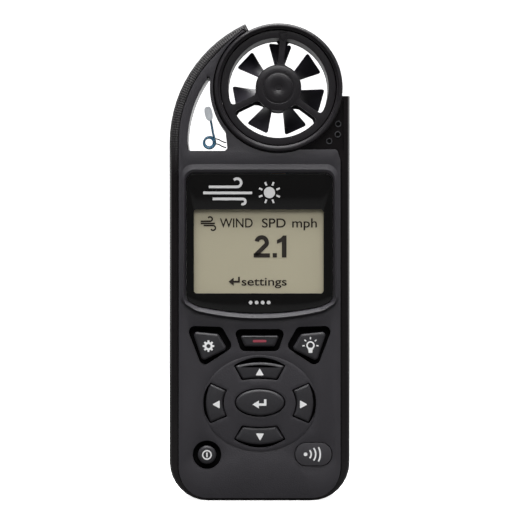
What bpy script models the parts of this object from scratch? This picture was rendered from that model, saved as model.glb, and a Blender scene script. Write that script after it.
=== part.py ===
"""Handheld weather meter: vane anemometer in the head, sensor window beside it,
display and keypad below, one AA cell behind a hinged door at the back.

Sizes are in millimetres and become metres in the helpers. X is to the user's right,
Z runs up the meter and the keypad faces -Y. The origin is under the middle of the foot.
"""
import math

import bmesh
import bpy
from mathutils import Matrix, Vector

MM = 0.001

# Driving sizes of the case
HALF_WIDTH = 24.0
HEIGHT = 127.0
FACE_Y = -13.0          # front of the fascia
LIP_Y = -14.0           # crest of the lip round the display
BACK_Y = 14.0           # back of the battery section
HEAD_BACK_Y = 8.0       # back of the slimmer head
RAIL_Y = -12.2          # front of the glossy case beside the fascia
SEAM_FRONT_Y = -0.5     # the two case halves meet at a gasket between these depths
SEAM_BACK_Y = 0.5
WALL = 2.0
GAP = 0.3               # clearance between neighbouring pieces
CORNER = 10.3

# Head: impeller duct and the long arc of the left side
RING_X, RING_Z = 5.0, 109.9
COLLAR_R = 17.1
BORE_R = 15.5
SHROUD_R = 15.2
DUCT_R = 13.35
STRUT_ANGLES = (84.5, 204.5, 324.5)
ARC_X, ARC_Z, ARC_R = 10.9, 95.3, 34.9
LEDGE_Z = 107.7
ROUND_SIDES = 48

# Fascia
FASCIA_THICK = 1.8
FASCIA_SIDE = 21.5
FASCIA_FOOT = 1.5
FASCIA_TOP = 93.4
FASCIA_BACK_Y = FACE_Y + FASCIA_THICK
POCKET_Y = FASCIA_BACK_Y + GAP

# Keys
KEY_TRAVEL = 0.6
FLANGE_FRONT_Y = FASCIA_BACK_Y + GAP
FLANGE_THICK = 1.0
FLANGE_EDGE = 0.5

# Battery bay and its door
BATTERY_Y = 4.4
BATTERY_R = 7.25
BATTERY_FOOT, BATTERY_TOP = 9.0, 59.5
BAY_LOW, BAY_HIGH, BAY_HALF = 6.6, 63.0, 7.8
BAY_FRONT_Y = -3.4
DOOR_HALF = 10.0
DOOR_TOP = 71.0
DOOR_INNER_Y = 12.4
HINGE_Y, HINGE_Z, HINGE_R = 12.85, 5.8, 1.1
RECESS_Y = 11.4
LATCH_Z = 66.6
SCREWS = ((-19.4, 15.0), (19.4, 15.0), (-19.4, 84.0), (19.4, 84.0))
TRIPOD_Z = 79.5
HUMIDITY_X, HUMIDITY_Z = -13.0, 79.0

# Impeller
HUB_R = 5.9
GUARD_HUB_R = 6.1
CAP_R = 3.9
BLADES = 7
BLADE_TIP_R = 12.0
BLADE_START = 87.5
IMPELLER_FRONT_Y, IMPELLER_BACK_Y = -8.2, 0.8

for old in list(bpy.data.objects):
    bpy.data.objects.remove(old, do_unlink=True)


def new_collection(name):
    group = bpy.data.collections.new(name)
    bpy.context.scene.collection.children.link(group)
    return group


PARTS = new_collection("handheld_weather_meter")
CUTTERS = new_collection("cutters")


# ---------------------------------------------------------------- materials

def paint(name, colour, roughness, metallic=0.0):
    """A Principled material of one colour."""
    material = bpy.data.materials.new(name)
    material.use_nodes = True
    shader = material.node_tree.nodes["Principled BSDF"]
    shader.inputs["Base Color"].default_value = (*colour, 1.0)
    shader.inputs["Roughness"].default_value = roughness
    shader.inputs["Metallic"].default_value = metallic
    return material


CASE_GLOSS = paint("case_gloss", (0.010, 0.008, 0.010), 0.25)
FASCIA_MATTE = paint("fascia_matte", (0.034, 0.031, 0.039), 0.65)
KEY_RUBBER = paint("key_rubber", (0.026, 0.025, 0.031), 0.55)
SEAL_RUBBER = paint("seal_rubber", (0.015, 0.015, 0.016), 0.8)
LENS_BLACK = paint("lens_black", (0.008, 0.006, 0.008), 0.08)
LCD_GREEN = paint("lcd_green", (0.37, 0.33, 0.24), 0.35)
BOARD_GREEN = paint("board_green", (0.02, 0.12, 0.05), 0.5)
CHIP_BLACK = paint("chip_black", (0.02, 0.02, 0.02), 0.4)
IMPELLER_BLACK = paint("impeller_black", (0.020, 0.018, 0.023), 0.45)
STEEL = paint("steel", (0.62, 0.62, 0.64), 0.3, 1.0)
BRASS = paint("brass", (0.78, 0.60, 0.28), 0.35, 1.0)
COPPER = paint("copper", (0.80, 0.42, 0.22), 0.4, 1.0)
JEWEL_RED = paint("jewel_red", (0.55, 0.03, 0.08), 0.1)
BEAD_GREY = paint("bead_grey", (0.50, 0.51, 0.51), 0.3)
WIRE_BLUE = paint("wire_blue", (0.05, 0.17, 0.34), 0.4)
BATTERY_SKIN = paint("battery_skin", (0.10, 0.11, 0.13), 0.35)
BADGE_GREY = paint("badge_grey", (0.045, 0.045, 0.052), 0.3)


# ---------------------------------------------------------------- outlines

def arc(x, z, radius, first, last, steps):
    """Points on a circle from one angle to another, both ends included."""
    angles = [math.radians(first + (last - first) * i / steps) for i in range(steps + 1)]
    return [(x + radius * math.cos(a), z + radius * math.sin(a)) for a in angles]


def oval(x, z, half_x, half_z, steps):
    """A closed ellipse."""
    turns = [2 * math.pi * i / steps for i in range(steps)]
    return [(x + half_x * math.cos(t), z + half_z * math.sin(t)) for t in turns]


def bow(start, end, rise, steps=6):
    """A shallow arch between two points, bulging to the left of the way it travels."""
    (x0, z0), (x1, z1) = start, end
    length = math.hypot(x1 - x0, z1 - z0)
    side_x, side_z = (z0 - z1) / length, (x1 - x0) / length
    points = []
    for i in range(steps + 1):
        t = i / steps
        lift = rise * 4 * t * (1 - t)
        points.append((x0 + (x1 - x0) * t + side_x * lift, z0 + (z1 - z0) * t + side_z * lift))
    return points


def rounded(corners, radius, steps=3):
    """A closed outline with every corner rounded to the same radius."""
    outline = []
    for i, (x, z) in enumerate(corners):
        here = Vector((x, z))
        before = (Vector(corners[i - 1]) - here).normalized()
        after = (Vector(corners[(i + 1) % len(corners)]) - here).normalized()
        half = before.angle(after) / 2
        centre = here + (before + after).normalized() * (radius / math.sin(half))
        first = here + before * (radius / math.tan(half)) - centre
        last = here + after * (radius / math.tan(half)) - centre
        for k in range(steps + 1):
            reach = first.lerp(last, k / steps).normalized() * radius
            outline.append(tuple(centre + reach))
    return outline


def grown(outline, amount):
    """The outline moved outward by an amount, for an outline listed either way round."""
    count = len(outline)
    area = sum(outline[i][0] * outline[(i + 1) % count][1] - outline[(i + 1) % count][0] * outline[i][1]
               for i in range(count))
    sign = 1 if area > 0 else -1
    moved = []
    for i in range(count):
        here = Vector(outline[i])
        before = (here - Vector(outline[i - 1])).normalized()
        after = (Vector(outline[(i + 1) % count]) - here).normalized()
        along = (before + after).normalized()
        stretch = max(0.5, along.dot(after))
        moved.append(tuple(here + Vector((along.y, -along.x)) * sign * amount / stretch))
    return moved


def mirrored(outline):
    return [(-x, z) for x, z in reversed(outline)]


def case_outline(inset=0.0):
    """Outer shape of the case seen from the front, anticlockwise from the foot."""
    side = HALF_WIDTH - inset
    collar = COLLAR_R - inset
    ledge = LEDGE_Z - inset
    ledge_angle = math.degrees(math.asin((ledge - RING_Z) / collar))
    centre_x = HALF_WIDTH - CORNER
    points = arc(centre_x, CORNER, CORNER - inset, -90, 0, 8)
    points += [(side, ledge)]
    points += arc(RING_X, RING_Z, collar, ledge_angle, 117.5, 22)
    points += arc(ARC_X, ARC_Z, ARC_R - inset, 115 + inset, 180, 14)
    points += arc(-centre_x, CORNER, CORNER - inset, 180, 270, 8)
    return points


def tapering_rail(first, last, steps):
    """Inner edge of the upper left rail, which narrows towards the tip of the arc."""
    points = []
    for i in range(steps + 1):
        angle = first + (last - first) * i / steps
        taper = 1.2 * max(0.0, (140.0 - angle) / 23.0) ** 2
        reach = ARC_R - 2.5 + taper
        points.append((ARC_X + reach * math.cos(math.radians(angle)),
                       ARC_Z + reach * math.sin(math.radians(angle))))
    return points


def fascia_outline():
    """The matte front plate: it wraps the lower left of the duct up to the pointed tip."""
    ring = COLLAR_R + 0.35
    start = math.degrees(math.asin((FASCIA_TOP - RING_Z) / ring))
    points = arc(14.0, 9.0, 7.5, -90, 0, 6)
    points += [(FASCIA_SIDE, 90.2), (20.9, 91.0), (20.9, 92.7), (20.2, FASCIA_TOP)]
    points += arc(RING_X, RING_Z, ring, start, -239.0, 22)
    points += tapering_rail(117.0, 180.0, 12)
    points += arc(-14.0, 9.0, 7.5, 180, 270, 6)
    return points


def window_outline():
    """Opening left of the duct that lets air past the temperature bead."""
    points = arc(RING_X, RING_Z, COLLAR_R + 1.15, -140.5, -187.0, 10)
    points += [(-13.7, 112.7)]
    points += arc(ARC_X, ARC_Z, 30.1, 145.5, 179.0, 8)
    points += [(-18.9, 93.4), (-18.4, 93.1), (-9.3, 93.1), (-8.6, 93.8)]
    return points


def cavity_outline(top):
    """Inside of the case below the head."""
    inner = CORNER - WALL
    side = HALF_WIDTH - WALL
    points = arc(HALF_WIDTH - CORNER, CORNER, inner, -90, 0, 5)
    points += [(side, top), (-side, top)]
    points += arc(CORNER - HALF_WIDTH, CORNER, inner, 180, 270, 5)
    return points


def lens_outline():
    """Display lens: straight top, curved foot."""
    foot = bow((-17.6, 52.0), (17.6, 52.0), -2.0, 12)
    right = arc(17.6, 55.0, 2.6, -60, 0, 3)
    top = arc(18.2, 86.0, 2.0, 0, 90, 3)
    left_top = arc(-18.2, 86.0, 2.0, 90, 180, 3)
    left = arc(-17.6, 55.0, 2.6, 180, 240, 3)
    return foot[1:-1] + right + top + left_top + left


def lip_outline():
    """Outer edge of the raised lip round the lens."""
    foot = bow((-18.2, 50.7), (18.2, 50.7), -2.4, 12)
    right = arc(18.0, 54.6, 3.2, -55, 0, 3)
    top = arc(17.6, 86.4, 3.6, 0, 90, 4)
    left_top = arc(-17.6, 86.4, 3.6, 90, 180, 4)
    left = arc(-18.0, 54.6, 3.2, 180, 235, 3)
    return foot[1:-1] + right + top + left_top + left


# ---------------------------------------------------------------- solids

def add(name, mesh, material=None):
    piece = bpy.data.objects.new(name, mesh)
    PARTS.objects.link(piece)
    if material:
        mesh.materials.clear()
        mesh.materials.append(material)
    return piece


def tidy(mesh):
    """Weld the caps, merge flat triangles and point every face outward."""
    bm = bmesh.new()
    bm.from_mesh(mesh)
    bmesh.ops.remove_doubles(bm, verts=bm.verts, dist=0.000002)
    bmesh.ops.dissolve_limit(bm, angle_limit=0.002, verts=bm.verts, edges=bm.edges)
    bmesh.ops.recalc_face_normals(bm, faces=bm.faces)
    bm.to_mesh(mesh)
    bm.free()


def baked(piece, place=None):
    """The same piece with its curve or modifiers turned into a plain mesh."""
    bpy.context.view_layer.update()
    seen = piece.evaluated_get(bpy.context.evaluated_depsgraph_get())
    mesh = bpy.data.meshes.new_from_object(seen)
    mesh.transform(place if place else piece.matrix_world)
    tidy(mesh)
    name = piece.name
    materials = [slot.material for slot in piece.material_slots]
    bpy.data.objects.remove(piece, do_unlink=True)
    return add(name, mesh, materials[0] if materials else None)


def flat_solid(name, loops, front, back, material=None):
    """Plate with these outlines, rim first and holes after, between two depths along Y."""
    curve = bpy.data.curves.new(name, "CURVE")
    curve.dimensions = "2D"
    curve.fill_mode = "BOTH"
    curve.extrude = (back - front) / 2 * MM
    for loop in loops:
        spline = curve.splines.new("POLY")
        spline.points.add(len(loop) - 1)
        for spot, (x, z) in zip(spline.points, loop):
            spot.co = (x * MM, z * MM, 0.0, 1.0)
        spline.use_cyclic_u = True
    shape = bpy.data.objects.new(name, curve)
    PARTS.objects.link(shape)
    upright = Matrix.Rotation(math.radians(90), 4, "X")
    place = Matrix.Translation((0, (front + back) / 2 * MM, 0)) @ upright
    piece = baked(shape, place)
    if material:
        piece.data.materials.append(material)
    return piece


def along_axis(axis, x, y, z):
    """Placement that turns a Z axis to the wanted one; Y pieces grow towards the front."""
    turns = {"x": Matrix.Rotation(math.radians(90), 4, "Y"),
             "y": Matrix.Rotation(math.radians(90), 4, "X"),
             "z": Matrix.Identity(4)}
    return Matrix.Translation((x * MM, y * MM, z * MM)) @ turns[axis]


def turned(name, profile, centre, axis="y", sides=ROUND_SIDES, material=None, closed=False):
    """Profile of (radius, distance) points, down the outer side, spun round an axis."""
    flip = -1 if axis == "y" else 1
    mesh = bpy.data.meshes.new(name)
    points = [(radius * MM, 0, flip * distance * MM) for radius, distance in profile]
    edges = [(i, i + 1) for i in range(len(points) - 1)]
    if closed:
        edges.append((len(points) - 1, 0))
    mesh.from_pydata(points, edges, [])
    piece = add(name, mesh)
    spin = piece.modifiers.new("turn", "SCREW")
    spin.axis = "Z"
    spin.steps = spin.render_steps = sides
    spin.use_merge_vertices = True
    spin.merge_threshold = 0.000001
    piece = baked(piece, along_axis(axis, *centre))
    if material:
        piece.data.materials.append(material)
    return piece


def rod(name, radius, low, high, centre, axis="y", sides=16, material=None):
    """Plain cylinder from low to high along an axis."""
    profile = [(0, low), (radius, low), (radius, high), (0, high)]
    if axis != "y":
        profile = profile[::-1]
    return turned(name, profile, centre, axis, sides, material)


def block(name, low, high, material=None, soften=0.0):
    """Box between two corners, its edges rounded if wanted."""
    bm = bmesh.new()
    bmesh.ops.create_cube(bm, size=1.0)
    size = [(b - a) * MM for a, b in zip(low, high)]
    middle = [(a + b) / 2 * MM for a, b in zip(low, high)]
    bmesh.ops.scale(bm, vec=size, verts=bm.verts)
    bmesh.ops.translate(bm, vec=middle, verts=bm.verts)
    if soften:
        bmesh.ops.bevel(bm, geom=bm.edges, offset=soften * MM, segments=1,
                        affect="EDGES", profile=0.5, material=-1)
    mesh = bpy.data.meshes.new(name)
    bm.to_mesh(mesh)
    bm.free()
    return add(name, mesh, material)


def tube(name, points, radius, material, corner_sides=1):
    """Wire along a list of points, with closed ends."""
    curve = bpy.data.curves.new(name, "CURVE")
    curve.dimensions = "3D"
    curve.bevel_depth = radius * MM
    curve.bevel_resolution = corner_sides
    curve.use_fill_caps = True
    spline = curve.splines.new("POLY")
    spline.points.add(len(points) - 1)
    for spot, point in zip(spline.points, points):
        spot.co = (*(value * MM for value in point), 1.0)
    shape = bpy.data.objects.new(name, curve)
    PARTS.objects.link(shape)
    piece = baked(shape)
    piece.data.materials.append(material)
    return piece


def boolean(target, other, operation):
    """Cut the other solid away from the target, or join it on."""
    change = target.modifiers.new(other.name, "BOOLEAN")
    change.operation = operation
    change.solver = "EXACT"
    change.object = other
    other.hide_render = True
    other.display_type = "WIRE"
    PARTS.objects.unlink(other)
    CUTTERS.objects.link(other)


def cut(target, *others):
    for other in others:
        boolean(target, other, "DIFFERENCE")


def join(target, *others):
    for other in others:
        boolean(target, other, "UNION")


def soften(piece, chosen, width, segments=2, sharper_than=50.0):
    """Round the sharp edges whose two ends both satisfy chosen(x, y, z)."""
    bm = bmesh.new()
    bm.from_mesh(piece.data)
    edges = [edge for edge in bm.edges
             if edge.is_manifold and math.degrees(edge.calc_face_angle(0.0)) > sharper_than
             and all(chosen(*(vert.co / MM)) for vert in edge.verts)]
    bmesh.ops.bevel(bm, geom=edges, offset=width * MM, segments=segments, affect="EDGES",
                    profile=0.5, material=-1, clamp_overlap=True)
    bm.to_mesh(piece.data)
    bm.free()


def smooth(piece, angle=35.0):
    piece.data.shade_smooth()
    piece.data.set_sharp_from_angle(angle=math.radians(angle))


def hang_on(piece, x, y, z):
    """Move the piece's origin to its joint without moving the piece."""
    pivot = Vector((x, y, z)) * MM
    piece.data.transform(Matrix.Translation(-pivot))
    piece.location = pivot


# ---------------------------------------------------------------- case halves

def at_front(level):
    return lambda x, y, z: abs(y - level) < 0.01


def clear_of_collar(x, z):
    return math.hypot(x - RING_X, z - RING_Z) > COLLAR_R + 1.0


def bore(name):
    return rod(name, BORE_R, -20, 20, (RING_X, 0, RING_Z), sides=ROUND_SIDES)


def front_housing():
    case = flat_solid("front_housing", [case_outline()], RAIL_Y, SEAM_FRONT_Y, CASE_GLOSS)
    soften(case, lambda x, y, z: abs(y - RAIL_Y) < 0.01 and clear_of_collar(x, z), 1.6)
    rim = COLLAR_R - 0.2
    collar_profile = [(BORE_R, -12.5), (BORE_R + 0.35, -12.9), (rim - 0.5, -12.9),
                      (rim, -12.4), (rim, -3.0), (BORE_R, -3.0)]
    collar = turned("collar", collar_profile, (RING_X, 0, RING_Z), closed=True)
    pocket = flat_solid("fascia_pocket", [grown(fascia_outline(), GAP)], -20, POCKET_Y)
    ledge_opening = [(-20.1, 47.0), (-20.1, 89.0), (20.1, 89.0), (20.1, 47.0)]
    ledge_opening += arc(14.0, 9.0, 6.1, 0, -90, 4) + arc(-14.0, 9.0, 6.1, 270, 180, 4)
    ledge = flat_solid("ledge_opening", [ledge_opening], -20, -6)
    cavity = flat_solid("front_cavity", [cavity_outline(90.5)], POCKET_Y + 1.5, 3)
    window = flat_solid("window_cut", [window_outline()], -20, 20)
    vent_field = arc(RING_X, RING_Z, COLLAR_R + 0.3, -12, -71.5, 8)
    vent_field += [(22.4, FASCIA_TOP), (22.4, 106.6)]
    recess = flat_solid("vent_field", [vent_field], -20, -11.0)
    bosses = [rod(f"front_boss_{i}", 2.8, -7.0, SEAM_FRONT_Y, (x, 0, z))
              for i, (x, z) in enumerate(SCREWS)]
    threads = [rod(f"front_thread_{i}", 1.3, -5.6, 5.0, (x, 0, z), sides=12)
               for i, (x, z) in enumerate(SCREWS)]
    vents = [rod(f"vent_{i}", 0.6, -14.0, -9.8, (x, 0, z), sides=10)
             for i, (x, z) in enumerate(((20.9, 100.3), (20.8, 97.5), (18.5, 95.7)))]
    cut(case, recess)
    join(case, collar)
    cut(case, pocket, ledge, cavity)
    join(case, *bosses)
    cut(case, bore("front_bore"), window, *threads, *vents)
    case = baked(case)
    smooth(case)


def rear_housing():
    case = flat_solid("rear_housing", [case_outline()], SEAM_BACK_Y, BACK_Y, CASE_GLOSS)
    above_back = [(HEAD_BACK_Y, 95), (HEAD_BACK_Y, 140), (40, 140), (40, 88), (BACK_Y, 88)]
    slope = flat_solid("head_slope", [above_back], -30, 30)
    slope.data.transform(Matrix.Rotation(math.radians(90), 4, "Z"))  # drawn facing +X
    tidy(slope.data)
    cut(case, slope)
    case = baked(case)
    soften(case, lambda x, y, z: y > HEAD_BACK_Y - 0.1 and clear_of_collar(x, z), 2.0)
    lower = flat_solid("rear_cavity", [cavity_outline(85.0)], -3, BACK_Y - WALL)
    upper = flat_solid("rear_cavity_top", [[(-22, 84), (22, 84), (22, 90.5), (-22, 90.5)]], -3, 6.0)
    join(lower, upper)
    cut(case, lower)
    wall = 1.5
    bay_shell = block("bay_shell", (-BAY_HALF - wall, BAY_FRONT_Y - wall, BAY_LOW - wall),
                      (BAY_HALF + wall, 12.6, BAY_HIGH + wall))
    flange = block("door_flange", (-12.2, 9.4, 3.0), (12.2, 13.2, DOOR_TOP + 1.6))
    tripod_boss = rod("tripod_boss", 6.2, 4.6, 13.0, (0, 0, TRIPOD_Z), sides=24)
    pillars = [rod(f"pillar_{i}", 2.8, SEAM_BACK_Y, 13.0, (x, 0, z))
               for i, (x, z) in enumerate(SCREWS)]
    latch_boss = rod("latch_boss", 3.6, 6.6, 11.0, (0, 0, LATCH_Z), sides=20)
    join(case, bay_shell, flange, tripod_boss, latch_boss, *pillars)
    bay = block("bay", (-BAY_HALF, BAY_FRONT_Y, BAY_LOW), (BAY_HALF, 20, BAY_HIGH))
    recess = block("door_recess", (-DOOR_HALF - GAP, RECESS_Y, HINGE_Z - HINGE_R - 0.4),
                   (DOOR_HALF + GAP, 20, DOOR_TOP + 0.4))
    pin_holes = rod("pin_holes", 0.8, -11.6, 11.6, (0, HINGE_Y, HINGE_Z), axis="x", sides=12)
    latch_hole = rod("latch_hole", 2.2, 7.6, 20, (0, 0, LATCH_Z), sides=20)
    tripod_hole = rod("tripod_hole", 4.9, 5.8, 20, (0, 0, TRIPOD_Z), sides=24)
    cover_hole = block("humidity_opening", (HUMIDITY_X - 3.9, 10, HUMIDITY_Z - 4.3),
                       (HUMIDITY_X + 3.9, 20, HUMIDITY_Z + 4.3))
    shanks = [rod(f"shank_hole_{i}", 1.3, -5, 20, (x, 0, z), sides=12)
              for i, (x, z) in enumerate(SCREWS)]
    heads = [rod(f"head_hole_{i}", 2.4, 12.3, 20, (x, 0, z), sides=16)
             for i, (x, z) in enumerate(SCREWS)]
    window = flat_solid("rear_window_cut", [window_outline()], -20, 20)
    cut(case, bay, recess, pin_holes, latch_hole, tripod_hole, cover_hole, *shanks, *heads,
        bore("rear_bore"), window)
    case = baked(case)
    smooth(case)


def seam_gasket():
    circle = oval(RING_X, RING_Z, BORE_R + 0.3, BORE_R + 0.3, ROUND_SIDES)
    loops = [case_outline(0.4), cavity_outline(90.5), circle, grown(window_outline(), 0.3)]
    gasket = flat_solid("housing_gasket", loops, -0.2, 0.2, SEAL_RUBBER)
    holes = [rod(f"gasket_hole_{i}", 3.1, -3, 3, (x, 0, z)) for i, (x, z) in enumerate(SCREWS)]
    cut(gasket, *holes)
    baked(gasket)


def housing_screw(index, x, z):
    profile = [(0, -4.8), (1.0, -4.8), (1.0, 12.6), (2.0, 12.6), (2.0, 13.4), (1.5, 13.8), (0, 13.8)]
    screw = turned(f"housing_screw_{index}", profile, (x, 0, z), sides=16, material=STEEL)
    slot = block(f"screw_slot_{index}", (x - 3, 13.2, z - 0.3), (x + 3, 16, z + 0.3))
    cut(screw, slot)
    smooth(baked(screw))


# ---------------------------------------------------------------- fascia and keys

SETTINGS_CAP = rounded([(-17.9, 45.1), (-11.0, 44.4), (-8.6, 40.4), (-15.2, 37.2)], 0.9)
SETTINGS_HOLE = rounded([(-19.2, 46.1), (-10.1, 45.9), (-7.5, 41.1), (-15.0, 36.1)], 1.2)
CAPTURE_CAP = rounded([(-5.25, 44.0), (-3.97, 41.1), (3.97, 41.1), (5.25, 44.0)], 0.5, 2)
CAPTURE_HOLE = rounded([(-6.7, 45.5), (-4.85, 39.8), (4.85, 39.8), (6.7, 45.5)], 1.2)
UP_CAP = bow((6.6, 35.9), (-6.6, 35.9), -1.0) + bow((-4.5, 32.3), (4.5, 32.3), 0.4, 4)
UP_HOLE = bow((7.0, 35.9), (-7.0, 35.9), -2.3) + bow((-4.8, 32.0), (4.8, 32.0), 0.4, 4)
DOWN_CAP = bow((-6.6, 16.5), (6.6, 16.5), -1.5) + bow((4.45, 19.9), (-4.45, 19.9), 0.4, 4)
DOWN_HOLE = bow((-7.0, 16.4), (7.0, 16.4), -2.3) + bow((4.75, 20.2), (-4.75, 20.2), 0.4, 4)
LEFT_CAP = bow((-13.0, 31.2), (-13.0, 20.9), -1.3) + bow((-8.8, 22.65), (-8.8, 29.4), 1.0, 4)
LEFT_HOLE = bow((-13.1, 31.7), (-13.1, 20.4), -2.2) + bow((-8.5, 22.4), (-8.5, 29.6), 1.0, 4)
ENTER_CAP = oval(0.1, 26.2, 6.47, 3.5, 28)
ENTER_HOLE = oval(0.1, 26.2, 6.8, 3.85, 28)
POWER_CAP = oval(-14.0, 12.3, 2.43, 2.43, 20)
POWER_HOLE = oval(-14.0, 12.3, 3.8, 3.8, 24)

KEYS = {"key_settings": (SETTINGS_CAP, SETTINGS_HOLE, -13.6),
        "key_capture": (CAPTURE_CAP, CAPTURE_HOLE, -13.4),
        "key_backlight": (mirrored(SETTINGS_CAP), mirrored(SETTINGS_HOLE), -13.6),
        "key_up": (UP_CAP, UP_HOLE, -13.5),
        "key_down": (DOWN_CAP, DOWN_HOLE, -13.5),
        "key_left": (LEFT_CAP, LEFT_HOLE, -13.5),
        "key_right": (mirrored(LEFT_CAP), mirrored(LEFT_HOLE), -13.5),
        "key_enter": (ENTER_CAP, ENTER_HOLE, -13.7),
        "key_power": (POWER_CAP, POWER_HOLE, -13.5)}
PAD_KEYS = ("key_up", "key_down", "key_left", "key_right", "key_enter")
BADGE = rounded([(9.4, 9.4), (19.2, 9.4), (19.2, 15.5), (9.4, 15.5)], 3.0, 5)


def fascia():
    """Matte plate with the key holes, the domed nav pad, the display lip and the sensor window."""
    loops = [fascia_outline(), window_outline()] + [KEYS[name][1] for name in KEYS if name not in PAD_KEYS]
    plate = flat_solid("front_fascia", loops, FACE_Y, FASCIA_BACK_Y, FASCIA_MATTE)
    lip = flat_solid("display_lip", [lip_outline()], LIP_Y, FACE_Y + 1.0)
    soften(lip, at_front(LIP_Y), 0.7, 2)
    opening = flat_solid("lens_opening", [grown(lens_outline(), GAP)], -20, -5)
    pad_profile = [(0, FACE_Y - 0.5), (5.4, FACE_Y - 0.44), (10.2, FACE_Y - 0.28), (13.2, FACE_Y - 0.12),
                   (15.6, FACE_Y + 0.04), (15.6, FACE_Y + 0.7), (0, FACE_Y + 0.7)]
    pad = turned("nav_pad", pad_profile, (0, 0, 0), sides=40)
    flatten = Matrix.Diagonal((1.0, 1.0, 13.0 / 15.4, 1.0))
    pad.data.transform(Matrix.Translation((0, 0, 26.0 * MM)) @ flatten)
    wells = [flat_solid(f"{name}_well", [KEYS[name][1]], -20, -5) for name in PAD_KEYS]
    badge_seat = flat_solid("badge_seat", [grown(BADGE, 0.25)], -20, -12.2)
    join(plate, lip, pad)
    cut(plate, opening, badge_seat, *wells)
    smooth(baked(plate), 25)


def key(name, cap, hole, front):
    """One rubber key: a cap through the fascia on a wider flange behind it."""
    piece = flat_solid(name, [cap], front, FLANGE_FRONT_Y + 0.3, KEY_RUBBER)
    soften(piece, at_front(front), 0.35, 2, 40)
    flange = flat_solid(f"{name}_flange", [grown(hole, FLANGE_EDGE)], FLANGE_FRONT_Y,
                        FLANGE_FRONT_Y + FLANGE_THICK)
    join(piece, flange)
    piece = baked(piece)
    smooth(piece, 30)
    xs = [x for x, z in cap]
    zs = [z for x, z in cap]
    hang_on(piece, (min(xs) + max(xs)) / 2, front, (min(zs) + max(zs)) / 2)


def link_badge():
    badge = flat_solid("link_badge", [BADGE], -13.15, -12.5, BADGE_GREY)
    soften(badge, at_front(-13.15), 0.2, 1)
    smooth(badge)


def display():
    flat_solid("display_lens", [lens_outline()], -13.3, -12.0, LENS_BLACK)
    frame = block("display_frame", (-19.8, -10.9, 50.5), (19.8, -8.1, 87.0), CASE_GLOSS)
    hole = block("lcd_seat", (-18.9, -20, 53.2), (18.9, 0, 79.8))
    cut(frame, hole)
    baked(frame)
    block("lcd_panel", (-18.6, -11.6, 53.5), (18.6, -9.8, 79.5), LCD_GREEN)
    block("backlight_panel", (-18.6, -9.5, 53.5), (18.6, -8.3, 79.5), BADGE_GREY)


def electronics():
    block("keypad_mat", (-18.0, -9.1, 6.5), (18.0, -8.2, 47.0), SEAL_RUBBER)
    block("circuit_board", (-16.0, -7.7, 6.5), (16.0, -6.3, 86.0), BOARD_GREEN)
    block("pressure_sensor", (9.5, -6.0, 77.5), (14.5, -4.2, 82.5), STEEL, 0.4)
    block("humidity_sensor", (HUMIDITY_X - 2.5, 9.2, HUMIDITY_Z - 2.5),
          (HUMIDITY_X + 2.5, 10.6, HUMIDITY_Z + 2.5), CHIP_BLACK, 0.3)
    rod("impeller_pickup", 2.0, 79.5, 89.8, (RING_X, -1.5, 0), axis="z", sides=16, material=COPPER)
    cover = block("humidity_cover", (HUMIDITY_X - 3.6, 12.3, HUMIDITY_Z - 4.0),
                  (HUMIDITY_X + 3.6, 13.8, HUMIDITY_Z + 4.0), FASCIA_MATTE, 0.3)
    slots = [block(f"humidity_slot_{i}", (HUMIDITY_X - 2.6, 0, HUMIDITY_Z - 2.8 + 1.4 * i),
                   (HUMIDITY_X + 2.6, 20, HUMIDITY_Z - 2.2 + 1.4 * i)) for i in range(5)]
    cut(cover, *slots)
    baked(cover)


# ---------------------------------------------------------------- impeller module

def strut(name, angle, depth_front, depth_back):
    """Spoke from the hub to the duct wall, flared where it meets each."""
    reach = (DUCT_R + 0.6, DUCT_R - 0.4, DUCT_R - 1.3, 7.5, 6.6, 5.4)
    half = (2.5, 1.5, 0.95, 0.85, 1.3, 2.4)
    outline = [(r, h) for r, h in zip(reach, half)] + [(r, -h) for r, h in zip(reach[::-1], half[::-1])]
    turn = math.radians(angle)
    placed = [(RING_X + r * math.cos(turn) - h * math.sin(turn),
               RING_Z + r * math.sin(turn) + h * math.cos(turn)) for r, h in outline]
    return flat_solid(name, [placed], depth_front, depth_back)


def guard(name, ring_profile, hub_profile, strut_front, strut_back):
    """A ring and a hub held together by three spokes."""
    centre = (RING_X, 0, RING_Z)
    ring = turned(name, ring_profile, centre, closed=True, material=IMPELLER_BLACK)
    hub = turned(f"{name}_hub", hub_profile, centre, sides=32)
    spokes = [strut(f"{name}_spoke_{i}", angle, strut_front, strut_back)
              for i, angle in enumerate(STRUT_ANGLES)]
    join(ring, *spokes, hub)
    smooth(baked(ring))


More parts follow.
